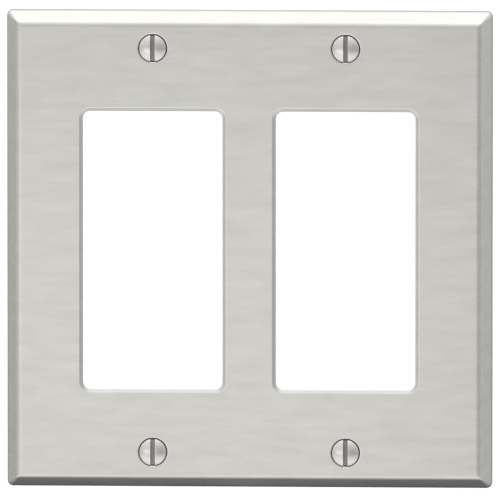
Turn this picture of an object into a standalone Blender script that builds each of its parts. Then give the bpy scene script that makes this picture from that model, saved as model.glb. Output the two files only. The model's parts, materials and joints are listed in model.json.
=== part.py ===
"""A two-gang wall plate for rocker-style devices, with its four oval-head screws.

Metres, +Z up. The plate hangs upright on a wall whose surface is the plane y = 0. +X is the
viewer's right and +Y points into the wall, so the brushed face looks along -Y. The origin is the
plate's centre on the wall. Heights along a screw are counted from its head's rim, towards the viewer.
"""

import math

import bmesh
import bpy

# The plate, overall
PLATE_WIDTH = 0.1158
PLATE_HEIGHT = 0.1143
PLATE_DEPTH = 0.0056  # from the wall to the brushed face
SHEET = 0.0008  # stock thickness
SKIRT_DEPTH = 0.0019  # the straight strip of the border that meets the wall
BORDER_RUN = 0.0028  # how far the sloping border reaches in from the outer edge

# Radii on the sheet's inner side; the outer side adds the stock thickness
BEND_INSIDE_RADIUS = 0.0002
CORNER_INSIDE_RADIUS = 0.0006
BEND_SEGMENTS = 4

# Device windows
GANG_SPACING = 0.0460  # centre to centre of neighbouring devices
WINDOW_WIDTH = 0.0333
WINDOW_RADIUS = 0.0018
WINDOW_SEGMENTS = 6

# Rows: with these values the windows are 66.7 mm high and the screw rows 96.84 mm apart
SCREW_ROW_INSET = 0.00873  # plate's end to the screws' axes
WINDOW_END_GAP = 0.01507  # screws' axes to the window's end

# Screws, number 6 size
THREAD_DIAMETER = 0.0035
SCREW_LENGTH = 0.0127  # from the head's rim to the tip
HEAD_DIAMETER = 0.0064
HEAD_HALF_ANGLE = math.radians(41.0)
HEAD_LAND = 0.0002  # height of the head's straight rim
CROWN_HEIGHT = 0.0010  # the oval crown above that rim
SLOT_WIDTH = 0.0011
SLOT_DEPTH = 0.0014
TIP_CHAMFER = 0.0005

# Fits
SHANK_CLEARANCE = 0.0002  # thread to bore, on the radius
HEAD_CLEARANCE = 0.00025  # head's cone to the dimple, square to the cone
HEAD_PROUD = 0.00005  # the head's rim stands this far in front of the face
BORE_LAND = 0.0005  # straight stretch of the pierced hole

ROUND_STEPS = 40
CROWN_STEPS = 5
OVERCUT = 0.001  # how far a cutter runs past what it cuts
SKIRT_SPARE = 0.003  # extra skirt past the wall, trimmed off
NEAR = 0.00001  # places closer than this count as the same

CONE_SLOPE = math.tan(HEAD_HALF_ANGLE)
HEAD_RADIUS = HEAD_DIAMETER / 2
BORE_RADIUS = THREAD_DIAMETER / 2 + SHANK_CLEARANCE
BACK_FACE = -PLATE_DEPTH + SHEET
SCREW_ROW = PLATE_HEIGHT / 2 - SCREW_ROW_INSET
WINDOW_HEIGHT = 2 * (SCREW_ROW - WINDOW_END_GAP)
HEAD_RIM = -PLATE_DEPTH - HEAD_PROUD  # where the head's rim stands along Y

STEEL = (0.60, 0.59, 0.565, 1.0)
SCREW_STEEL = (0.63, 0.62, 0.60, 1.0)


def clear_scene():
    for thing in list(bpy.data.objects):
        bpy.data.objects.remove(thing, do_unlink=True)


def new_collection(name):
    collection = bpy.data.collections.new(name)
    bpy.context.scene.collection.children.link(collection)
    return collection


def steel(name, colour, roughness):
    material = bpy.data.materials.new(name)
    material.use_nodes = True
    shader = material.node_tree.nodes["Principled BSDF"]
    shader.inputs["Base Color"].default_value = colour
    shader.inputs["Roughness"].default_value = roughness
    shader.inputs["Metallic"].default_value = 1.0
    material.diffuse_color = colour
    return material


def box_cage(size, centre=(0, 0, 0)):
    """A box as an open bmesh, to be cut, bent or bevelled before it becomes a mesh."""
    bm = bmesh.new()
    bmesh.ops.create_cube(bm, size=1.0)
    bmesh.ops.scale(bm, vec=size, verts=bm.verts)
    bmesh.ops.translate(bm, vec=centre, verts=bm.verts)
    return bm


def finished_mesh(bm, name):
    mesh = bpy.data.meshes.new(name)
    bm.to_mesh(mesh)
    bm.free()
    return mesh


def add_object(name, mesh, collection, location=(0, 0, 0), rotation=(0, 0, 0)):
    item = bpy.data.objects.new(name, mesh)
    item.location = location
    item.rotation_euler = rotation
    collection.objects.link(item)
    return item


def applied_mesh(item, name):
    """The object's evaluated shape as a plain mesh; the object itself is removed."""
    bpy.context.view_layer.update()
    graph = bpy.context.evaluated_depsgraph_get()
    mesh = bpy.data.meshes.new_from_object(item.evaluated_get(graph))
    mesh.name = name
    bpy.data.objects.remove(item, do_unlink=True)
    return mesh


def turned_object(name, profile, collection):
    """A turned solid about local Z. The profile runs from top to bottom and starts and ends on the axis."""
    mesh = bpy.data.meshes.new(name)
    points = [(radius, 0, height) for radius, height in profile]
    edges = [(i, i + 1) for i in range(len(points) - 1)]
    mesh.from_pydata(points, edges, [])
    item = add_object(name, mesh, collection)
    turn = item.modifiers.new("turn", "SCREW")
    turn.axis = "Z"
    turn.steps = ROUND_STEPS
    turn.render_steps = ROUND_STEPS
    turn.use_merge_vertices = True
    turn.merge_threshold = 0.000001
    return item


def boolean(item, operation, other):
    join = item.modifiers.new(other.name, "BOOLEAN")
    join.operation = operation
    join.solver = "EXACT"
    if isinstance(other, bpy.types.Collection):
        join.operand_type = "COLLECTION"
        join.collection = other
    else:
        join.object = other


def hide_helper(item):
    item.hide_render = True
    item.display_type = "WIRE"


def screw_places():
    """(name, x, z) of each screw, on the two gangs' centre lines."""
    places = []
    for row, z in (("top", SCREW_ROW), ("bottom", -SCREW_ROW)):
        for side, x in (("left", -GANG_SPACING / 2), ("right", GANG_SPACING / 2)):
            places.append((f"screw_{row}_{side}", x, z))
    return places


def dimple_radius(height):
    """Radius of the dimple's front cone at a height from the head's rim."""
    return HEAD_RADIUS + height * CONE_SLOPE + HEAD_CLEARANCE / math.cos(HEAD_HALF_ANGLE)


BORE_START = (BORE_RADIUS - dimple_radius(0)) / CONE_SLOPE
BORE_END = BORE_START - BORE_LAND


def plate_skin():
    """The plate's outer surface with sharp bends: face, border and a skirt that is trimmed later."""
    depth = PLATE_DEPTH + SKIRT_SPARE
    bm = box_cage((PLATE_WIDTH, depth, PLATE_HEIGHT), (0, SKIRT_SPARE - depth / 2, 0))
    everything = bm.verts[:] + bm.edges[:] + bm.faces[:]
    bmesh.ops.bisect_plane(
        bm, geom=everything, plane_co=(0, -SKIRT_DEPTH, 0), plane_no=(0, 1, 0), dist=NEAR
    )
    wall_side = [face for face in bm.faces if face.normal.y > 0.5]
    bmesh.ops.delete(bm, geom=wall_side, context="FACES")
    front = [vertex for vertex in bm.verts if vertex.co.y < -PLATE_DEPTH + NEAR]
    for vertex in front:
        vertex.co.x -= math.copysign(BORDER_RUN, vertex.co.x)
        vertex.co.z -= math.copysign(BORDER_RUN, vertex.co.z)
    return finished_mesh(bm, "plate_skin")


def bend_reaches(inside_bend, inside_corner):
    """How far each kind of bend reaches along the flat beside it: radius times tan of half its turn."""
    slope = math.atan2(PLATE_DEPTH - SKIRT_DEPTH, BORDER_RUN)
    mitre = math.acos(math.cos(slope) ** 2)
    return {
        "face": inside_bend * math.tan(slope / 2),
        "skirt": inside_bend * math.tan((math.pi / 2 - slope) / 2),
        "mitre": inside_bend * math.tan(mitre / 2),
        "corner": inside_corner,
    }


def bend_kind(edge):
    """Which bend a sharp edge of the folded sheet is, or None along its rim."""
    first, second = (vertex.co for vertex in edge.verts)
    if min(first.y, second.y) > 0:
        return None
    long = (first - second).length > 2 * PLATE_DEPTH
    if long:
        return "face" if first.y < BACK_FACE + NEAR else "skirt"
    return "mitre" if abs(first.x - second.x) > NEAR else "corner"


def rounded_bends(mesh):
    """Rounds every bend of the folded sheet, inside and out, and returns the width for weight 1."""
    outside = bend_reaches(SHEET + BEND_INSIDE_RADIUS, SHEET + CORNER_INSIDE_RADIUS)
    inside = bend_reaches(BEND_INSIDE_RADIUS, CORNER_INSIDE_RADIUS)
    widest = max(outside.values())
    bm = bmesh.new()
    bm.from_mesh(mesh)
    weight = bm.edges.layers.float.new("bevel_weight_edge")
    for edge in bm.edges:
        kind = bend_kind(edge)
        if kind is None:
            continue
        convex = edge.calc_face_angle_signed() > 0
        edge[weight] = (outside if convex else inside)[kind] / widest
    bm.to_mesh(mesh)
    bm.free()
    return widest


def wall_cutter(collection):
    """Everything past the wall's surface, which trims the skirt to a flat rim."""
    depth = SKIRT_SPARE + OVERCUT
    size = (PLATE_WIDTH + 2 * OVERCUT, depth, PLATE_HEIGHT + 2 * OVERCUT)
    mesh = finished_mesh(box_cage(size), "wall")
    hide_helper(add_object("wall", mesh, collection, (0, depth / 2, 0)))


def window_cutters(collection):
    for side, x in (("left", -GANG_SPACING / 2), ("right", GANG_SPACING / 2)):
        depth = SHEET + 2 * OVERCUT
        bm = box_cage((WINDOW_WIDTH, depth, WINDOW_HEIGHT))
        through = [e for e in bm.edges if abs(e.verts[0].co.y - e.verts[1].co.y) > depth / 2]
        bmesh.ops.bevel(
            bm,
            geom=through,
            offset=WINDOW_RADIUS,
            offset_type="OFFSET",
            segments=WINDOW_SEGMENTS,
            profile=0.5,
            affect="EDGES",
        )
        mesh = finished_mesh(bm, f"window_{side}")
        middle = (-PLATE_DEPTH + BACK_FACE) / 2
        hide_helper(add_object(f"window_{side}", mesh, collection, (x, middle, 0)))


def dimple_tools(bosses, cutters):
    """For each screw, the boss that backs its dimple and the cutter for its countersink and bore."""
    top = -HEAD_PROUD - SHEET / 2
    wall = SHEET / math.cos(HEAD_HALF_ANGLE)
    boss_profile = [
        (0, top),
        (dimple_radius(top) + wall, top),
        (dimple_radius(BORE_END) + wall, BORE_END),
        (0, BORE_END),
    ]
    cutter_profile = [
        (0, OVERCUT),
        (dimple_radius(OVERCUT), OVERCUT),
        (BORE_RADIUS, BORE_START),
        (BORE_RADIUS, BORE_END - OVERCUT),
        (0, BORE_END - OVERCUT),
    ]
    boss = applied_mesh(turned_object("boss", boss_profile, bosses), "boss")
    countersink = applied_mesh(turned_object("countersink", cutter_profile, cutters), "countersink")
    for name, x, z in screw_places():
        place = (x, HEAD_RIM, z)
        for kind, mesh, collection in (("boss", boss, bosses), ("countersink", countersink, cutters)):
            tool_name = name.replace("screw", kind)
            hide_helper(add_object(tool_name, mesh, collection, place, (math.pi / 2, 0, 0)))


def wall_plate(parts, bosses, cutters):
    skin = add_object("skin", plate_skin(), parts)
    stock = skin.modifiers.new("stock", "SOLIDIFY")
    stock.thickness = SHEET
    stock.offset = -1.0
    stock.use_even_offset = True
    sheet = applied_mesh(skin, "wall_plate")
    widest = rounded_bends(sheet)
    plate = add_object("wall_plate", sheet, parts)
    sheet.materials.append(steel("brushed_steel", STEEL, 0.34))
    bends = plate.modifiers.new("bends", "BEVEL")
    bends.limit_method = "WEIGHT"
    bends.offset_type = "OFFSET"
    bends.width = widest
    bends.segments = BEND_SEGMENTS
    boolean(plate, "UNION", bosses)
    boolean(plate, "DIFFERENCE", cutters)


def crown_points():
    """The oval crown's arc, from the axis out to the head's rim."""
    sphere = (HEAD_RADIUS**2 + CROWN_HEIGHT**2) / (2 * CROWN_HEIGHT)
    widest = math.asin(HEAD_RADIUS / sphere)
    drop = HEAD_LAND + CROWN_HEIGHT - sphere
    angles = [widest * step / CROWN_STEPS for step in range(CROWN_STEPS + 1)]
    return [(sphere * math.sin(angle), drop + sphere * math.cos(angle)) for angle in angles]


def screw_mesh(helpers):
    shank = THREAD_DIAMETER / 2
    neck = (shank - HEAD_RADIUS) / CONE_SLOPE
    profile = crown_points() + [
        (HEAD_RADIUS, 0),
        (shank, neck),
        (shank, -SCREW_LENGTH + TIP_CHAMFER),
        (shank - TIP_CHAMFER, -SCREW_LENGTH),
        (0, -SCREW_LENGTH),
    ]
    blank = turned_object("screw_blank", profile, helpers)
    height = SLOT_DEPTH + OVERCUT
    slot_bottom = HEAD_LAND + CROWN_HEIGHT - SLOT_DEPTH
    size = (SLOT_WIDTH, HEAD_DIAMETER + 2 * OVERCUT, height)
    cage = box_cage(size, (0, 0, slot_bottom + height / 2))
    slot = add_object("slot", finished_mesh(cage, "slot"), helpers)
    hide_helper(slot)
    boolean(blank, "DIFFERENCE", slot)
    mesh = applied_mesh(blank, "oval_head_screw")
    mesh.materials.append(steel("screw_steel", SCREW_STEEL, 0.28))
    mesh.shade_smooth()
    mesh.set_sharp_from_angle(angle=math.radians(30))
    return mesh


def screws(parts, helpers):
    mesh = screw_mesh(helpers)
    for name, x, z in screw_places():
        add_object(name, mesh, parts, (x, HEAD_RIM, z), (math.pi / 2, 0, 0))


def main():
    clear_scene()
    parts = new_collection("wall_plate_cover")
    bosses = new_collection("dimple_bosses")
    cutters = new_collection("plate_cutters")
    helpers = new_collection("screw_cutters")
    wall_cutter(cutters)
    window_cutters(cutters)
    dimple_tools(bosses, cutters)
    wall_plate(parts, bosses, cutters)
    screws(parts, helpers)


main()
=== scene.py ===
"""Finished surfaces for a two-gang brushed steel wall plate and its four oval-head screws.

Metres, +Z up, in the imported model's frame: the wall's surface is the plane y = 0, +X is the viewer's
right and +Y points into the wall. The file is laid out as an add-on and is run as a script.
"""

import json
import math

import bmesh
import bpy
from mathutils import Matrix, Vector

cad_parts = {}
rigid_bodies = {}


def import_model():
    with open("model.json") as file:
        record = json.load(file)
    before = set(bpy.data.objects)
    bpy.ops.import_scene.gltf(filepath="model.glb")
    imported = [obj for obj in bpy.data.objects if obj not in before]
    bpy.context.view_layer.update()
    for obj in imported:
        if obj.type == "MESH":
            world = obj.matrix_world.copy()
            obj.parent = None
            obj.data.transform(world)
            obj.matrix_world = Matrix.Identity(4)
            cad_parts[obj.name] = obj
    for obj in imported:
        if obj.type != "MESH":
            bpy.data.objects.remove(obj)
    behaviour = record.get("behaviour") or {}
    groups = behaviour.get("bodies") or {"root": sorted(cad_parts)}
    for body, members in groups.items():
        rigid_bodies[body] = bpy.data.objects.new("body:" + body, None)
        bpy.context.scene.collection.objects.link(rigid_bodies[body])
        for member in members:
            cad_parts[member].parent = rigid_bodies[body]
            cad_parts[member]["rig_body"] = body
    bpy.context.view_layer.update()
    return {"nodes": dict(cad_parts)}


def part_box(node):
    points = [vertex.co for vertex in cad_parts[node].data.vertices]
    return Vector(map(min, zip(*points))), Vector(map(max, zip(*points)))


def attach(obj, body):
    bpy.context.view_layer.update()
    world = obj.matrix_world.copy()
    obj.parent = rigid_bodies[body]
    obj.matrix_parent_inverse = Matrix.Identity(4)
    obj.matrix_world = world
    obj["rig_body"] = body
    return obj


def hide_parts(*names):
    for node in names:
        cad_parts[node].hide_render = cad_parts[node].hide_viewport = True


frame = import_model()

bl_info = {
    "name": "Two-gang wall plate",
    "version": (1, 0, 0),
    "blender": (4, 5, 0),
    "location": "View3D > Sidebar > Wall plate",
    "description": "Builds a brushed steel wall plate, its screws and a soft white stage",
    "category": "Add Mesh",
}

MM = 0.001

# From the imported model
PLATE_LOW, PLATE_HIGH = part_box("wall_plate")
SCREW_NODES = sorted(name for name in frame["nodes"] if name.startswith("screw_"))
FACE = PLATE_LOW.y

# Fineness of the plate's mesh; a guard is how near its ends a flat has a point, to shade it flat
CORNER_STEPS = 8
CIRCLE_STEPS = 72
SHEET_ARC_STEPS = 6
SHEET_GUARD = 0.06 * MM
SMALLEST_FILLET = 1e-7
SHARP_PLATE_EDGE = math.radians(35)

# Fineness of the screws' meshes
CROWN_STEPS = 12
HEAD_ARC_STEPS = 4
HEAD_GUARD = 0.03 * MM
HEAD_SIDES = 64
HEAD_MERGE = 1e-7
THREAD_SIDES = 41
THREAD_ROWS = 190
THREAD_MERGE = 1e-6
SHARP_SCREW_EDGE = math.radians(40)

# Flat strips kept round the shaped edges of the sheet
BEND_APRON = 0.6  # inside the border's bend, as a share of its radius
COINED_APRON = 1.6  # across the coined slope and the strip round it, as a share of the slope

# Wear
WORN_RADIUS = 0.3 * MM  # bends this tight are worn all the way
SHORTEST_SPAN = 0.001 * MM

# The screws' neck and thread
NECK_FILLET = 0.25 * MM
NECK_LENGTH = 0.6 * MM
SHANK_OVERLAP = 0.1 * MM  # how far the threaded shank reaches up into the head
THREAD_FLATS = 0.12  # share of the thread's wave that is cut flat at the crest, and at the root
TIP_RADIUS = 0.40  # share of the root's diameter
FREE_RADIUS = 0.51  # share of the crest's diameter, just clear of it
CUTTER_SPARE = 1.0 * MM

# Shade in the screws' slots and threads
SLOT_SHADE = 0.3 * MM  # how far below the crown a slot is at its darkest
SLOT_SIDE = 0.51  # share of the slot's width, just past its walls
SLOT_SLACK = 0.01 * MM
THREAD_START = 2.0 * MM  # how far behind the rim's lower edge the thread's shade starts

# Brushing on the plate: its scale along X and across it, then what each size of line adds
HAIR_SCALE = (90, 5200, 5200)
STREAK_SCALE = (60, 1500, 1500)
BAND_SCALE = (110, 460, 460)
HAIR_TONE, STREAK_TONE, BAND_TONE = 0.15, 0.25, 0.6
DARKEST_LINE, LIGHTEST_LINE = 0.35, 0.65
HAIR_ROUGHNESS, STREAK_ROUGHNESS = 0.16, 0.10
HAIR_RELIEF, STREAK_RELIEF = 0.6, 0.4
BRUSHING_DEPTH = 0.012 * MM

# Worn edges, and the mill finish on the back, beside the brushed face
WORN_COVER, WORN_TONE, WORN_POLISH = 0.7, 1.08, 0.08
MILL_DARK, MILL_LIGHT, MILL_ROUGHNESS = 0.74, 0.90, 0.14

# Turning rings and handling marks on the screws, and the shade in their recesses
RING_SCALE, MARK_SCALE = 9000.0, 900.0
RING_TONE, MARK_TONE = 0.6, 0.4
TURNED_DARK, TURNED_LIGHT = 0.88, 1.08
RING_ROUGHNESS, MARK_ROUGHNESS = 0.14, 0.12
# share of painted shade laid over the turned steel deep in slots and thread roots; the roughness there
# is real
RECESS_SHADE_COVER, RECESS_ROUGHNESS = 0.85, 0.2
TURNING_DEPTH = 0.008 * MM

# The white tent, as (height of the direction, tone) pairs, ahead of the plate and behind it
FRONT_TENT = (
    (-1.0, 0.75),
    (-0.88, 1.30),
    (-0.65, 1.25),
    (-0.4, 1.04),
    (-0.15, 0.69),
    (0.2, 0.82),
    (0.7, 1.1),
    (1.0, 1.85),
)
BACK_TENT = (
    (-1.0, 0.05),
    (-0.7, 0.10),
    (-0.3, 0.30),
    (-0.1, 0.36),
    (0.0, 0.42),
    (0.2, 0.60),
    (0.6, 1.0),
    (1.0, 1.85),
)
TENT_PEAK = 2.5
TENT_TURN = 0.5  # how far ahead or behind a direction has to point to be all front or all back

# What each wall of the tent adds: the direction of its middle, how tight it is, and its gain
WALL_GAINS = (
    ((-0.7, -0.7, 0.0), 4.0, 0.10),
    ((0.7, -0.7, 0.0), 4.0, -0.22),
    ((-0.95, 0.30, 0.0), 6.0, 0.23),
    ((0.98, 0.20, 0.0), 6.0, 0.31),
)

# The soft box ahead of the plate, to its left and a little low; it faces along +Y
PANEL_PLACE = Vector((-0.195, -0.4, -0.07))
PANEL_SIZE = (0.50, 0.16)
PANEL_RADIANCE = 0.50

FLOOR_RADIUS = 40.0
FLOOR_SIDES = 64
FLOOR_ROUGHNESS = 0.9
FARTHEST_VIEW = 200.0


# Settings


def length(name, description, default):
    """A length in metres."""
    return bpy.props.FloatProperty(
        name=name, description=description, default=default, unit="LENGTH", precision=5
    )


def angle(name, description, degrees):
    """An angle, given in degrees and kept in radians."""
    return bpy.props.FloatProperty(
        name=name, description=description, default=math.radians(degrees), subtype="ANGLE"
    )


def share(name, description, default):
    """A number from 0 to 1."""
    return bpy.props.FloatProperty(
        name=name, description=description, default=default, min=0.0, max=1.0, subtype="FACTOR"
    )


def colour(name, description, rgb):
    """A linear colour."""
    return bpy.props.FloatVectorProperty(
        name=name, description=description, default=rgb, size=3, min=0.0, max=1.0, subtype="COLOR"
    )


class PlateSizes(bpy.types.PropertyGroup):
    """Sizes of the stamped and bent sheet."""

    sheet: length("Sheet", "Stock thickness", 0.8 * MM)
    skirt: length("Skirt", "Straight strip of the border next to the wall", 1.9 * MM)
    border: length("Border", "How far the sloping border reaches in from the edge", 2.8 * MM)
    bend: length("Bend radius", "Outside the bend between the face and the border", 1.8 * MM)
    shoulder: length("Shoulder radius", "Outside the bend from border to skirt", 1.9 * MM)
    corner: length("Corner radius", "At the plate's four corners, from the front", 1.4 * MM)
    mitre: length("Mitre radius", "At the border's corners where they meet the face", 0.35 * MM)
    broken_edge: length("Broken edge", "Radius left on the sheet's cut edges", 0.08 * MM)


class OpeningSizes(bpy.types.PropertyGroup):
    """Sizes of the device windows and of the dimples that take the screws."""

    spacing: length("Gang spacing", "Centre to centre of the two windows", 46.0 * MM)
    width: length("Window width", "Across one window", 33.3 * MM)
    height: length("Window height", "Up one window", 66.7 * MM)
    radius: length("Window radius", "Radius of the window's corners", 1.8 * MM)
    coined_width: length("Coined width", "Of the slope pressed round each window", 0.85 * MM)
    coined_depth: length("Coined depth", "Depth of that slope at the window's edge", 0.52 * MM)
    coined_edge: length("Coined edge", "Radius at the top and the foot of that slope", 0.35 * MM)
    drawn_edge: length("Drawn edge", "Radius where the face is drawn into a dimple", 0.60 * MM)
    mouth: length("Dimple mouth", "Diameter of the dimple's cone at the face", 6.98 * MM)
    bore: length("Bore", "Diameter of the hole in the dimple", 3.9 * MM)
    bore_land: length("Bore land", "Straight stretch of the hole", 0.5 * MM)
    half_angle: angle("Half angle", "Half of the dimple's cone angle", 41.0)


class ScrewSizes(bpy.types.PropertyGroup):
    """Sizes of the oval-head screws."""

    head: length("Head diameter", "Across the head's rim", 6.4 * MM)
    half_angle: angle("Half angle", "Half of the cone angle under the head", 41.0)
    land: length("Head land", "Height of the head's straight rim", 0.2 * MM)
    crown: length("Crown height", "Height of the oval crown above the rim", 1.0 * MM)
    rim: length("Rim radius", "Radius on the crown's edge", 0.12 * MM)
    slot_width: length("Slot width", "Width of the driver's slot", 1.1 * MM)
    slot_depth: length("Slot depth", "Depth of the slot below the crown's top", 1.4 * MM)
    thread: length("Thread diameter", "Over the thread's crests", 3.45 * MM)
    root: length("Root diameter", "At the thread's root", 2.66 * MM)
    pitch: length("Pitch", "From one crest to the next", 0.794 * MM)
    tip: length("Tip taper", "Length of the tapered tip", 0.9 * MM)


class FinishSettings(bpy.types.PropertyGroup):
    """Colours and roughness of the steels."""

    plate: colour("Plate steel", "Colour of the brushed plate", (0.611, 0.604, 0.575))
    streak: colour("Streak", "Colour of the darker brush streaks", (0.556, 0.547, 0.518))
    plate_roughness: share("Plate roughness", "Mean roughness of the brushing", 0.30)
    screw: colour("Screw steel", "Colour of the screws", (0.66, 0.65, 0.63))
    # painted shade: this dark colour is laid deep in the screws' slots and down between their thread
    # crests, where shade falls
    recess: colour("Recess", "Colour deep in the slots and threads", (0.20, 0.195, 0.19))
    screw_roughness: share("Screw roughness", "Mean roughness of the turned heads", 0.24)


class StageSettings(bpy.types.PropertyGroup):
    """The camera and the floor."""

    azimuth: angle("Azimuth", "Camera's angle to the right", 2.5)
    elevation: angle("Elevation", "Camera's angle above level", 6.5)
    distance: length("Distance", "From the camera to the plate", 5.0)
    frame_width: length("Frame width", "Width that the picture takes in at the plate", 119.2 * MM)
    aim: bpy.props.FloatVectorProperty(
        name="Aim",
        description="The point that the camera looks at",
        default=(0.11 * MM, -3.0 * MM, -0.08 * MM),
        subtype="XYZ",
        unit="LENGTH",
    )
    floor_drop: length("Floor drop", "Gap between the plate and the floor", 60 * MM)
    floor: colour("Floor", "Colour of the floor", (0.86, 0.86, 0.86))


class WallPlateSettings(bpy.types.PropertyGroup):
    """Everything that a user would change."""

    plate: bpy.props.PointerProperty(type=PlateSizes)
    openings: bpy.props.PointerProperty(type=OpeningSizes)
    screws: bpy.props.PointerProperty(type=ScrewSizes)
    finish: bpy.props.PointerProperty(type=FinishSettings)
    stage: bpy.props.PointerProperty(type=StageSettings)


def settings():
    return bpy.context.scene.wall_plate


# Sections and rings


def filleted(points, arc_steps, guard):
    """A polyline of (across, y, radius) with its corners rounded.

    Each arc has a point a little before and after it on the straight, where there is room, so that
    smooth shading leaves the flats flat.
    """
    path = [Vector(points[0][:2])]
    for before, here, after in zip(points, points[1:], points[2:]):
        corner = Vector(here[:2])
        into = (corner - Vector(before[:2])).normalized()
        out = (Vector(after[:2]) - corner).normalized()
        turn = into.angle(out)
        reach = here[2] * math.tan(turn / 2)
        if reach < SMALLEST_FILLET:
            path.append(corner)
            continue
        start = corner - into * reach
        end = corner + out * reach
        if (start - path[-1]).length > 2 * guard:
            path.append(start - into * guard)
        middle = start + (end - start) / 2
        to_centre = (middle - corner).normalized() * (here[2] / math.cos(turn / 2))
        centre = corner + to_centre
        spoke = start - centre
        side = 1 if into.x * out.y - into.y * out.x > 0 else -1
        for step in range(arc_steps + 1):
            swing = Matrix.Rotation(side * turn * step / arc_steps, 2)
            path.append(centre + swing @ spoke)
        if (Vector(after[:2]) - end).length > 2 * guard:
            path.append(end + out * guard)
    path.append(Vector(points[-1][:2]))
    return path


def rounded_rectangle(x, z, width, height, radius, y):
    """Points of a rounded rectangle about (x, z) in the plane y."""
    points = []
    corners = ((1, 1, 0), (-1, 1, 90), (-1, -1, 180), (1, -1, 270))
    for side_x, side_z, start in corners:
        centre_x = x + side_x * (width / 2 - radius)
        centre_z = z + side_z * (height / 2 - radius)
        for step in range(CORNER_STEPS + 1):
            turn = math.radians(start + 90 * step / CORNER_STEPS)
            points.append((centre_x + radius * math.cos(turn), y, centre_z + radius * math.sin(turn)))
    return points


def circle(x, z, radius, y):
    """Points of a circle about (x, z) in the plane y."""
    points = []
    for step in range(CIRCLE_STEPS):
        turn = 2 * math.pi / CIRCLE_STEPS * step
        points.append((x + radius * math.cos(turn), y, z + radius * math.sin(turn)))
    return points


def edge_wear(path):
    """How much each point of a section is worn: all the way on tight bends, none on the flats."""
    worn = [0.0]
    for before, here, after in zip(path, path[1:], path[2:]):
        turn = (here - before).angle(after - here)
        span = (after - before).length / 2
        worn.append(min(1.0, turn / max(span, SHORTEST_SPAN) * WORN_RADIUS))
    worn.append(0.0)
    return worn


def linked(name, mesh):
    """A new object in the scene with this mesh."""
    item = bpy.data.objects.new(name, mesh)
    bpy.context.scene.collection.objects.link(item)
    return item


def mesh_from(bm, name):
    """A mesh with the bmesh's geometry; the bmesh is freed."""
    mesh = bpy.data.meshes.new(name)
    bm.to_mesh(mesh)
    bm.free()
    return mesh


def smooth(mesh, sharp):
    """Shades a mesh smooth, apart from edges that turn more than the sharp angle."""
    mesh.shade_smooth()
    mesh.set_sharp_from_angle(angle=sharp)


class Surface:
    """A sheet being built from rings of points; each point carries how worn it is, and its side."""

    def __init__(self):
        self.bm = bmesh.new()
        self.wear = self.bm.verts.layers.float.new("wear")
        self.inside = self.bm.verts.layers.float.new("inside")

    def ring(self, points, wear, inside):
        made = []
        for point in points:
            vertex = self.bm.verts.new(point)
            vertex[self.wear] = wear
            vertex[self.inside] = inside
            made.append(vertex)
        return made

    def bridge(self, first, second):
        for i in range(len(first)):
            j = (i + 1) % len(first)
            self.bm.faces.new((first[i], first[j], second[j], second[i]))

    def sweep(self, section, outline):
        """Sweeps a section round an outline, and returns its first and last ring.

        Points from the section's deepest one on are on the inside of the sheet.
        """
        path = filleted(section, SHEET_ARC_STEPS, SHEET_GUARD)
        deepest = max(range(len(path)), key=lambda i: path[i].y)
        rings = []
        for i, wear in enumerate(edge_wear(path)):
            rings.append(self.ring(outline(*path[i]), wear, float(i >= deepest)))
        for first, second in zip(rings, rings[1:]):
            self.bridge(first, second)
        return rings[0], rings[-1]

    def fill(self, loops):
        """A flat sheet between an outer loop and the loops inside it."""
        edges = []
        for loop in loops:
            for i in range(len(loop)):
                edges.append(self.bm.edges.get((loop[i], loop[(i + 1) % len(loop)])))
        bmesh.ops.triangle_fill(self.bm, use_beauty=True, use_dissolve=False, edges=edges)

    def finish(self, name):
        bmesh.ops.recalc_face_normals(self.bm, faces=self.bm.faces)
        mesh = mesh_from(self.bm, name)
        smooth(mesh, SHARP_PLATE_EDGE)
        return linked(name, mesh)


# The plate


def border_section(sizes):
    """The plate's edge from the face, over the border and skirt to the rim, and back inside."""
    skirt = PLATE_HIGH.y - sizes.skirt
    slope = Vector((sizes.border, skirt - FACE)).normalized()
    back = FACE + sizes.sheet
    inner_skirt = skirt + sizes.sheet * (1 - slope.x) / slope.y
    inner_border = sizes.border + sizes.sheet * (1 - slope.x) / slope.y
    deep = sizes.border + BEND_APRON * sizes.bend
    return [
        (deep, FACE, 0),
        (sizes.border, FACE, sizes.bend),
        (0, skirt, sizes.shoulder),
        (0, PLATE_HIGH.y, sizes.broken_edge),
        (sizes.sheet, PLATE_HIGH.y, sizes.broken_edge),
        (sizes.sheet, inner_skirt, sizes.shoulder - sizes.sheet),
        (inner_border, back, sizes.bend - sizes.sheet),
        (deep, back, 0),
    ]


def window_section(sizes, openings):
    """A window's edge from the face, down the slope pressed round it, to the back of the sheet."""
    back = FACE + sizes.sheet
    apron = openings.coined_width * COINED_APRON
    return [
        (apron, FACE, 0),
        (openings.coined_width, FACE, openings.coined_edge),
        (0, FACE + openings.coined_depth, openings.coined_edge / 2),
        (0, back, sizes.broken_edge),
        (apron, back, 0),
    ]


def dimple_section(sizes, openings):
    """A dimple from the face, down its cone and bore, and up its back to the back of the sheet."""
    slope = math.tan(openings.half_angle)
    mouth, bore = openings.mouth / 2, openings.bore / 2
    wall = sizes.sheet / math.cos(openings.half_angle)
    bore_top = FACE + (mouth - bore) / slope
    bore_end = bore_top + openings.bore_land
    back = FACE + sizes.sheet
    boss_foot = mouth + wall - sizes.sheet * slope
    boss_end = boss_foot - (bore_end - back) * slope
    apron = mouth + openings.drawn_edge
    return [
        (apron, FACE, 0),
        (mouth, FACE, openings.drawn_edge),
        (bore, bore_top, openings.drawn_edge / 2),
        (bore, bore_end, sizes.broken_edge),
        (boss_end, bore_end, openings.drawn_edge / 3),
        (boss_foot, back, openings.drawn_edge),
        (apron, back, 0),
    ]


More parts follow.
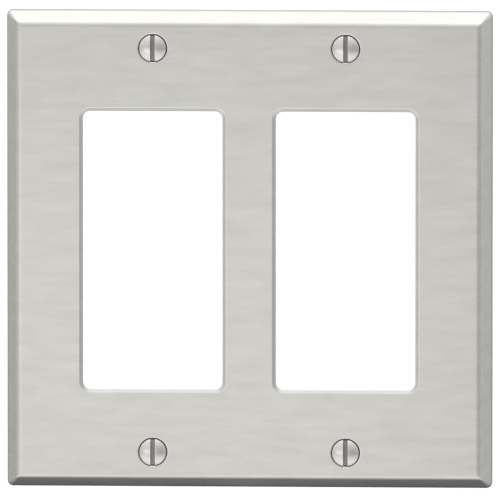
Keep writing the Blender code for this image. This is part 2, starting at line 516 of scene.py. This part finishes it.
def build_plate(sizes, openings):
    """The sheet: its border, windows and dimples swept first, then its face and back filled in."""
    surface = Surface()
    width, height = PLATE_HIGH.x - PLATE_LOW.x, PLATE_HIGH.z - PLATE_LOW.z

    def border_outline(inset, y):
        radius = max(sizes.corner - inset, sizes.mitre)
        return rounded_rectangle(0, 0, width - 2 * inset, height - 2 * inset, radius, y)

    sheets = [surface.sweep(border_section(sizes), border_outline)]
    for side in (-1, 1):

        def window_outline(out, y):
            x = side * openings.spacing / 2
            across, up = openings.width + 2 * out, openings.height + 2 * out
            return rounded_rectangle(x, 0, across, up, openings.radius + out, y)

        sheets.append(surface.sweep(window_section(sizes, openings), window_outline))
    for node in SCREW_NODES:
        low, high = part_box(node)
        centre = (low + high) / 2

        def dimple_outline(radius, y):
            return circle(centre.x, centre.z, radius, y)

        sheets.append(surface.sweep(dimple_section(sizes, openings), dimple_outline))
    for loops in zip(*sheets):
        surface.fill(loops)
    return surface.finish("brushed_plate")


# Node trees


def opaque(rgb):
    return (*rgb, 1.0)


def scaled(rgb, by):
    """The colour made lighter or darker, and opaque."""
    return opaque(channel * by for channel in rgb)


def find_socket(sockets, key):
    """The socket with this identifier, or else the one with this name or number."""
    for socket in sockets:
        if socket.identifier == key:
            return socket
    return sockets[key]


def set_stops(ramp, stops):
    """Gives a new colour ramp these (position, colour) stops."""
    ramp.elements.remove(ramp.elements[1])
    ramp.elements[0].position = stops[0][0]
    for position, _ in stops[1:]:
        ramp.elements.new(position)
    for element, (_, rgb) in zip(ramp.elements, stops):
        element.color = opaque(rgb)


class Value:
    """A node's output with Python's arithmetic: each operator adds a Math node."""

    def __init__(self, tree, socket):
        self.tree = tree
        self.socket = socket

    def __add__(self, other):
        return self.tree.math("ADD", self, other)

    __radd__ = __add__

    def __sub__(self, other):
        return self.tree.math("SUBTRACT", self, other)

    def __rsub__(self, other):
        return self.tree.math("SUBTRACT", other, self)

    def __mul__(self, other):
        return self.tree.math("MULTIPLY", self, other)

    __rmul__ = __mul__

    def __truediv__(self, other):
        return self.tree.math("DIVIDE", self, other)

    def __rtruediv__(self, other):
        return self.tree.math("DIVIDE", other, self)


class Tree:
    """A node tree of any kind, with one call that adds any node."""

    def __init__(self, group):
        self.group = group

    def node(self, kind, settings=None, inputs=None, output=0):
        """Adds a node, makes its settings, then fills its sockets; returns one of its outputs."""
        made = self.group.nodes.new(kind)
        for key, value in (settings or {}).items():
            if key == "stops":
                set_stops(made.color_ramp, value)
            else:
                setattr(made, key, value)
        for key, value in (inputs or {}).items():
            self.plug(find_socket(made.inputs, key), value)
        if output is not None:
            return Value(self, find_socket(made.outputs, output))

    def plug(self, socket, value):
        if isinstance(value, Value):
            self.group.links.new(value.socket, socket)
        else:
            socket.default_value = value

    def math(self, operation, *values):
        return self.node("ShaderNodeMath", {"operation": operation}, dict(enumerate(values)))

    def part(self, vector, axis):
        return self.node("ShaderNodeSeparateXYZ", inputs={0: vector}, output=axis)

    def remap(self, value, low, high, to_low=0.0, to_high=1.0):
        """The value carried from one range to another, and held at its ends."""
        inputs = {
            "Value": value,
            "From Min": low,
            "From Max": high,
            "To Min": to_low,
            "To Max": to_high,
        }
        return self.node("ShaderNodeMapRange", {"clamp": True}, inputs)


class GeometryTree(Tree):
    """A geometry node tree with named inputs."""

    def __init__(self, name):
        super().__init__(bpy.data.node_groups.new(name, "GeometryNodeTree"))
        self.group.is_modifier = True

    def input(self, name, default=None, kind="NodeSocketFloat"):
        item = self.group.interface.new_socket(name, in_out="INPUT", socket_type=kind)
        if default is not None:
            item.default_value = default
        return self.node("NodeGroupInput", output=name)

    def finish(self, geometry):
        socket_type = "NodeSocketGeometry"
        self.group.interface.new_socket("Geometry", in_out="OUTPUT", socket_type=socket_type)
        self.node("NodeGroupOutput", inputs={"Geometry": geometry}, output=None)


class Shader(Tree):
    """A material's or a world's node tree."""

    def noise(self, vector, scale=1.0, detail=2.0, roughness=0.5):
        inputs = {"Vector": vector, "Scale": scale, "Detail": detail, "Roughness": roughness}
        return self.node("ShaderNodeTexNoise", {"noise_dimensions": "3D"}, inputs)

    def towards(self, direction, aim, tightness):
        """1 in the aimed direction, falling smoothly to 0 a right angle away."""
        pair = {0: direction, 1: aim}
        along = self.node("ShaderNodeVectorMath", {"operation": "DOT_PRODUCT"}, pair, "Value")
        return self.math("POWER", self.math("MAXIMUM", along, 0.0), tightness)

    def stretched(self, coordinates, scale):
        inputs = {"Vector": coordinates, "Scale": scale}
        return self.node("ShaderNodeMapping", {"vector_type": "POINT"}, inputs)

    def attribute(self, name, output="Fac"):
        return self.node("ShaderNodeAttribute", {"attribute_name": name}, output=output)

    def mix(self, factor, first, second):
        inputs = {"Factor_Float": factor, "A_Color": first, "B_Color": second}
        return self.node("ShaderNodeMix", {"data_type": "RGBA"}, inputs, "Result_Color")

    def bump(self, strength, distance, height):
        inputs = {"Strength": strength, "Distance": distance, "Height": height}
        return self.node("ShaderNodeBump", inputs=inputs)

    def finish(self, shader, inputs):
        """Fills sockets of the shader that the tree came with."""
        for name, value in inputs.items():
            self.plug(self.group.nodes[shader].inputs[name], value)


# Finishes


def new_material(name):
    material = bpy.data.materials.new(name)
    material.use_nodes = True
    return material, Shader(material.node_tree)


def brushed_steel(finish):
    """Horizontal brushing in three sizes: hair lines, streaks and broad soft bands."""
    material, shader = new_material("brushed_steel")
    place = shader.node("ShaderNodeTexCoord", output="Object")
    hair = shader.noise(shader.stretched(place, HAIR_SCALE), detail=3.0, roughness=0.6)
    streak = shader.noise(shader.stretched(place, STREAK_SCALE))
    band = shader.noise(shader.stretched(place, BAND_SCALE))
    worn = shader.attribute("wear")
    inside = shader.attribute("inside")
    tone = hair * HAIR_TONE + streak * STREAK_TONE + band * BAND_TONE
    lines = shader.remap(tone, DARKEST_LINE, LIGHTEST_LINE)
    body = shader.mix(lines, opaque(finish.streak), opaque(finish.plate))
    outside = shader.mix(worn * WORN_COVER, body, scaled(finish.plate, WORN_TONE))
    mill = shader.mix(band, scaled(finish.plate, MILL_DARK), scaled(finish.plate, MILL_LIGHT))
    hair_gloss = (hair - 0.5) * HAIR_ROUGHNESS
    streak_gloss = (streak - 0.5) * STREAK_ROUGHNESS
    brushing = finish.plate_roughness + hair_gloss + streak_gloss
    relief = hair * HAIR_RELIEF + streak * STREAK_RELIEF
    principled = {
        "Base Color": shader.mix(inside, outside, mill),
        "Metallic": 1.0,
        "Roughness": brushing - worn * WORN_POLISH + inside * MILL_ROUGHNESS,
        "Anisotropic": 0.55,
        "Anisotropic Rotation": 0.25,
        "Normal": shader.bump(strength=0.5, distance=BRUSHING_DEPTH, height=relief),
    }
    shader.finish("Principled BSDF", principled)
    return material


def turned_steel(finish):
    """Fine turning rings about each screw's own axis, faint handling marks, and painted shade deep in
    the slots and threads.
    """
    material, shader = new_material("turned_steel")
    place = shader.attribute("from_axis", "Vector")
    flat = shader.stretched(place, (1, 1, 0))
    radius = shader.node("ShaderNodeVectorMath", {"operation": "LENGTH"}, {0: flat}, "Value")
    ring_place = shader.node("ShaderNodeCombineXYZ", inputs={0: radius * RING_SCALE})
    rings = shader.noise(ring_place, roughness=0.6)
    marks = shader.noise(place, scale=MARK_SCALE, roughness=0.6)
    tone = rings * RING_TONE + marks * MARK_TONE
    body = shader.mix(tone, scaled(finish.screw, TURNED_DARK), scaled(finish.screw, TURNED_LIGHT))
    # painted shade: the stored depth darkens the slot and the thread's roots towards a near-black
    # colour
    recess_shade = shader.node("ShaderNodeClamp", inputs={"Value": shader.attribute("recess")})
    ring_gloss = (rings - 0.5) * RING_ROUGHNESS
    mark_gloss = (marks - 0.5) * MARK_ROUGHNESS
    turning = finish.screw_roughness + ring_gloss + mark_gloss
    principled = {
        "Base Color": shader.mix(recess_shade * RECESS_SHADE_COVER, body, opaque(finish.recess)),
        "Metallic": 1.0,
        "Roughness": turning + recess_shade * RECESS_ROUGHNESS,
        "Normal": shader.bump(strength=0.4, distance=TURNING_DEPTH, height=tone),
    }
    shader.finish("Principled BSDF", principled)
    return material


# The screws: modelled with the axis along Z and the rim's lower edge at z = 0, then turned and copied


def crown_sphere(sizes):
    """Radius of the sphere that the head's oval crown is part of."""
    return ((sizes.head / 2) ** 2 + sizes.crown**2) / (2 * sizes.crown)


def neck_depth(sizes):
    """How far below the rim the head's cone meets the thread's root."""
    return (sizes.head - sizes.root) / 2 / math.tan(sizes.half_angle)


def head_section(sizes):
    """The head from the crown's top to under its neck, as (radius, height) from the axis outwards."""
    rim, root = sizes.head / 2, sizes.root / 2
    sphere = crown_sphere(sizes)
    widest = math.asin(rim / sphere)
    crown = []
    for step in range(CROWN_STEPS + 1):
        turn = widest * step / CROWN_STEPS
        height = sizes.land + sizes.crown - sphere * (1 - math.cos(turn))
        crown.append((sphere * math.sin(turn), height))
    corner = crown.pop()
    neck = -neck_depth(sizes)
    foot = neck - NECK_LENGTH
    lower = [
        (*crown[-1], 0),
        (*corner, sizes.rim),
        (rim, 0, sizes.rim / 2),
        (root, neck, NECK_FILLET),
        (root, foot, 0),
    ]
    rounded = filleted(lower, HEAD_ARC_STEPS, HEAD_GUARD)
    return crown[:-1] + [tuple(point) for point in rounded] + [(0, foot)]


def turned_head(sizes):
    """The head's section turned round the axis."""
    mesh = bpy.data.meshes.new("screw_head")
    points = [(radius, 0, height) for radius, height in head_section(sizes)]
    mesh.from_pydata(points, [(i, i + 1) for i in range(len(points) - 1)], [])
    head = linked("screw_head", mesh)
    turn = head.modifiers.new("turn", "SCREW")
    turn.axis = "Z"
    turn.steps = HEAD_SIDES
    turn.render_steps = HEAD_SIDES
    turn.use_merge_vertices = True
    turn.merge_threshold = HEAD_MERGE
    return head


def slot_cutter(sizes):
    """The block that cuts the driver's slot across the crown."""
    bm = bmesh.new()
    bmesh.ops.create_cube(bm, size=1.0)
    height = sizes.slot_depth + CUTTER_SPARE
    size = (sizes.slot_width, sizes.head + 2 * CUTTER_SPARE, height)
    bmesh.ops.scale(bm, vec=size, verts=bm.verts)
    centre = sizes.land + sizes.crown - sizes.slot_depth + height / 2
    bmesh.ops.translate(bm, vec=(0, 0, centre), verts=bm.verts)
    return linked("slot_cutter", mesh_from(bm, "slot_cutter"))


def thread_tree():
    """A threaded shank along -Z: a grid wrapped round the axis, whose radius follows the helix."""
    tree = GeometryTree("rolled_thread")
    shank_length = tree.input("Length", 10 * MM)
    major = tree.input("Major Diameter", 3.5 * MM)
    root = tree.input("Root Diameter", 2.7 * MM)
    pitch = tree.input("Pitch", 0.8 * MM)
    taper = tree.input("Tip Taper", 1.0 * MM)
    sides = tree.input("Sides", THREAD_SIDES, "NodeSocketInt")
    rows = tree.input("Rows", THREAD_ROWS, "NodeSocketInt")
    steel = tree.input("Steel", kind="NodeSocketMaterial")

    size = {"Size X": 1.0, "Size Y": 1.0, "Vertices X": sides, "Vertices Y": rows}
    grid = tree.node("GeometryNodeMeshGrid", inputs=size)
    place = tree.node("GeometryNodeInputPosition")
    around = tree.part(place, "X") + 0.5
    along = tree.part(place, "Y") + 0.5
    step = 1.0 / (rows - 1)
    inside = tree.math("COMPARE", along, 0.5, 0.5 - step * 0.5)
    depth = tree.remap(along, step, 1.0 - step) * shank_length
    phase = tree.math("FRACT", depth / pitch - around + 1.0)
    wave = 0.5 + 0.5 * tree.math("COSINE", phase * math.tau)
    crest = tree.remap(wave, THREAD_FLATS, 1 - THREAD_FLATS)
    threaded = (root + (major - root) * crest) / 2
    from_tip = shank_length - depth
    limit = tree.remap(from_tip, 0.0, taper, root * TIP_RADIUS, major * FREE_RADIUS)
    radius = tree.math("MINIMUM", threaded, limit) * inside
    turn = around * math.tau
    point = {
        "X": radius * tree.math("COSINE", turn),
        "Y": radius * tree.math("SINE", turn),
        "Z": 0.0 - depth,
    }
    wrapped = tree.node("ShaderNodeCombineXYZ", inputs=point)
    shank = tree.node("GeometryNodeSetPosition", inputs={"Geometry": grid, "Position": wrapped})
    merge = {"Geometry": shank, "Distance": THREAD_MERGE}
    closed = tree.node("GeometryNodeMergeByDistance", inputs=merge)
    real = tree.node("GeometryNodeRealizeInstances", inputs={"Geometry": closed})
    tree.finish(tree.node("GeometryNodeSetMaterial", inputs={"Geometry": real, "Material": steel}))
    return tree.group


def set_inputs(modifier, values):
    """Sets a node modifier's inputs by the identifiers of the sockets with these names."""
    for item in modifier.node_group.interface.items_tree:
        if item.in_out == "INPUT":
            modifier[item.identifier] = values[item.name]


def plain_mesh(item, name):
    """The object's evaluated shape as a plain mesh; the object itself is removed."""
    bpy.context.view_layer.update()
    graph = bpy.context.evaluated_depsgraph_get()
    mesh = bpy.data.meshes.new_from_object(item.evaluated_get(graph))
    mesh.name = name
    bpy.data.objects.remove(item, do_unlink=True)
    return mesh


def threaded_shank(sizes, full_length, steel):
    """The shank from just inside the head to the tip, which is full_length below the rim."""
    seed = linked("threaded_shank", bpy.data.meshes.new("shank_seed"))
    nodes = seed.modifiers.new("thread", "NODES")
    nodes.node_group = thread_tree()
    start = neck_depth(sizes) - SHANK_OVERLAP
    values = {
        "Length": full_length - start,
        "Major Diameter": sizes.thread,
        "Root Diameter": sizes.root,
        "Pitch": sizes.pitch,
        "Tip Taper": sizes.tip,
        "Sides": THREAD_SIDES,
        "Rows": THREAD_ROWS,
        "Steel": steel,
    }
    set_inputs(nodes, values)
    shank = plain_mesh(seed, "threaded_shank")
    shank.transform(Matrix.Translation((0, 0, -start)))
    return linked("threaded_shank", shank)


def boolean(item, operation, other):
    """Adds an exact Boolean modifier to the item."""
    join = item.modifiers.new(other.name, "BOOLEAN")
    join.operation = operation
    join.solver = "EXACT"
    join.object = other


def screw_mesh(sizes, full_length, steel):
    """One screw, whole and slotted, in a single steel."""
    head = turned_head(sizes)
    cutter = slot_cutter(sizes)
    boolean(head, "DIFFERENCE", cutter)
    shank = threaded_shank(sizes, full_length, steel)
    boolean(head, "UNION", shank)
    mesh = plain_mesh(head, "oval_head_screw")
    for helper in (cutter, shank):
        bpy.data.objects.remove(helper, do_unlink=True)
    mesh.materials.clear()
    mesh.materials.append(steel)
    mesh.polygons.foreach_set("material_index", [0] * len(mesh.polygons))
    return mesh


def note_places(mesh, sizes):
    """Stores each point's place from the screw's axis, and how much painted shade it gets from how
    deep in the slot or thread it is.

    The mesh already points along +Y, with the rim's lower edge at y = 0.
    """
    sphere = crown_sphere(sizes)
    slot_floor = sizes.slot_depth - sizes.crown - sizes.land
    places, shade_depths = [], []
    for vertex in mesh.vertices:
        x, y, z = vertex.co
        radius = math.hypot(x, z)
        crown = sizes.land + sizes.crown - sphere + math.sqrt(max(sphere**2 - radius**2, 0.0))
        # painted shade: darker with depth below the crown down the slot, and darker towards the root
        # between the thread's crests
        if abs(x) < sizes.slot_width * SLOT_SIDE and y < slot_floor + SLOT_SLACK:
            depth = (crown + y) / SLOT_SHADE
        elif y > THREAD_START:
            depth = 1.0 - 2 * (radius - sizes.root / 2) / (sizes.thread - sizes.root)
        else:
            depth = 0.0
        places += (x, z, y)
        shade_depths.append(depth)
    mesh.attributes.new("from_axis", "FLOAT_VECTOR", "POINT").data.foreach_set("vector", places)
    mesh.attributes.new("recess", "FLOAT", "POINT").data.foreach_set("value", shade_depths)


# The stage


def soft_panel():
    """A soft box that shows only in what the metal reflects."""
    light = bpy.data.lights.new("front_panel", "AREA")
    light.shape = "RECTANGLE"
    light.size, light.size_y = PANEL_SIZE
    light.energy = PANEL_RADIANCE * math.pi * light.size * light.size_y
    item = linked("front_panel", light)
    item.location = PANEL_PLACE
    item.rotation_euler = Vector((0, 1, 0)).to_track_quat("-Z", "Y").to_euler()
    item.visible_camera = False


def studio_world():
    """A white tent: bright overhead, softer at eye level and dark underneath, white to the camera."""
    world = bpy.data.worlds.new("white_tent")
    world.use_nodes = True
    tent = Shader(world.node_tree)
    direction = tent.node("ShaderNodeTexCoord", output="Generated")
    level = {0: tent.part(direction, "Z") * 0.5 + 0.5}
    greys = []
    for tones in (FRONT_TENT, BACK_TENT):
        stops = [(0.5 + z / 2, [tone / TENT_PEAK] * 3) for z, tone in tones]
        greys.append(tent.node("ShaderNodeValToRGB", {"stops": stops}, level))
    turn = tent.remap(tent.part(direction, "Y"), -TENT_TURN, TENT_TURN)
    walls = tent.node("ShaderNodeRGBToBW", inputs={0: tent.mix(turn, *greys)})
    for aim, tightness, gain in WALL_GAINS:
        walls = walls + tent.towards(direction, aim, tightness) * (gain / TENT_PEAK)
    shown = tent.node("ShaderNodeLightPath", output="Is Camera Ray")
    seen = tent.mix(shown, walls, opaque([1 / TENT_PEAK] * 3))
    tent.finish("Background", {"Color": seen, "Strength": TENT_PEAK})
    bpy.context.scene.world = world


def pale_floor(stage):
    """A round floor below the plate, which the metal doesn't reflect."""
    bm = bmesh.new()
    bmesh.ops.create_circle(bm, cap_ends=True, segments=FLOOR_SIDES, radius=FLOOR_RADIUS)
    floor = linked("pale_floor", mesh_from(bm, "pale_floor"))
    floor.location.z = PLATE_LOW.z - stage.floor_drop
    floor.visible_glossy = False
    material, shader = new_material("pale_floor")
    principled = {"Base Color": opaque(stage.floor), "Roughness": FLOOR_ROUGHNESS}
    shader.finish("Principled BSDF", principled)
    floor.data.materials.append(material)


def camera(stage):
    """A far camera with a long lens, so that the plate's sides look parallel."""
    lens = bpy.data.cameras.new("camera")
    item = linked("camera", lens)
    flat = math.cos(stage.elevation)
    across, up = math.sin(stage.azimuth) * flat, math.sin(stage.elevation)
    back = Vector((across, -math.cos(stage.azimuth) * flat, up))
    item.location = Vector(stage.aim) + back * stage.distance
    item.rotation_euler = (-back).to_track_quat("-Z", "Y").to_euler()
    lens.lens = lens.sensor_width * stage.distance / stage.frame_width
    lens.clip_end = FARTHEST_VIEW
    bpy.context.scene.camera = item


# Operators


class WALLPLATE_OT_plate(bpy.types.Operator):
    """Builds the stamped sheet with its windows, dimples and sloping border"""

    bl_idname = "wallplate.plate"
    bl_label = "Build plate"

    def execute(self, context):
        chosen = settings()
        plate = build_plate(chosen.plate, chosen.openings)
        plate.data.materials.append(brushed_steel(chosen.finish))
        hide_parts("wall_plate")
        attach(plate, "plate")
        return {"FINISHED"}


class WALLPLATE_OT_screws(bpy.types.Operator):
    """Builds the four oval-head screws in their dimples"""

    bl_idname = "wallplate.screws"
    bl_label = "Build screws"

    def execute(self, context):
        chosen = settings()
        steel = turned_steel(chosen.finish)
        low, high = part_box(SCREW_NODES[0])
        rim = low.y + chosen.screws.crown + chosen.screws.land
        master = screw_mesh(chosen.screws, high.y - rim, steel)
        master.transform(Matrix.Rotation(math.pi / 2, 4, "X"))
        note_places(master, chosen.screws)
        for node in SCREW_NODES:
            low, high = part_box(node)
            centre = (low + high) / 2
            mesh = master.copy()
            mesh.transform(Matrix.Translation((centre.x, rim, centre.z)))
            smooth(mesh, SHARP_SCREW_EDGE)
            screw = linked(node.replace("screw", "oval_screw"), mesh)
            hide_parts(node)
            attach(screw, node)
        bpy.data.meshes.remove(master)
        return {"FINISHED"}


class WALLPLATE_OT_stage(bpy.types.Operator):
    """Sets up the pale floor, the soft light and the camera"""

    bl_idname = "wallplate.stage"
    bl_label = "Build stage"

    def execute(self, context):
        stage = settings().stage
        context.scene.view_settings.view_transform = "Standard"
        studio_world()
        pale_floor(stage)
        soft_panel()
        camera(stage)
        return {"FINISHED"}


class WALLPLATE_PT_sidebar(bpy.types.Panel):
    """Lists the pieces and their sizes"""

    bl_label = "Wall plate"
    bl_space_type = "VIEW_3D"
    bl_region_type = "UI"
    bl_category = "Wall plate"

    def draw(self, context):
        chosen = settings()
        for title, group, operator in (
            ("Plate", chosen.plate, WALLPLATE_OT_plate),
            ("Openings", chosen.openings, None),
            ("Screws", chosen.screws, WALLPLATE_OT_screws),
            ("Finish", chosen.finish, None),
            ("Stage", chosen.stage, WALLPLATE_OT_stage),
        ):
            box = self.layout.box()
            box.label(text=title)
            for name in group.__annotations__:
                box.prop(group, name)
            if operator:
                box.operator(operator.bl_idname)


CLASSES = (
    PlateSizes,
    OpeningSizes,
    ScrewSizes,
    FinishSettings,
    StageSettings,
    WallPlateSettings,
    WALLPLATE_OT_plate,
    WALLPLATE_OT_screws,
    WALLPLATE_OT_stage,
    WALLPLATE_PT_sidebar,
)


def register():
    for kind in CLASSES:
        bpy.utils.register_class(kind)
    bpy.types.Scene.wall_plate = bpy.props.PointerProperty(type=WallPlateSettings)


def unregister():
    del bpy.types.Scene.wall_plate
    for kind in reversed(CLASSES):
        bpy.utils.unregister_class(kind)


def clear_startup_objects():
    """Removes what was in the scene before the frame was loaded."""
    for item in list(bpy.data.objects):
        if item.parent is None and "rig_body" not in item and item.type in ("MESH", "LIGHT", "CAMERA"):
            bpy.data.objects.remove(item, do_unlink=True)


def main():
    register()
    clear_startup_objects()
    bpy.ops.wallplate.plate()
    bpy.ops.wallplate.screws()
    bpy.ops.wallplate.stage()


if __name__ == "__main__":
    main()
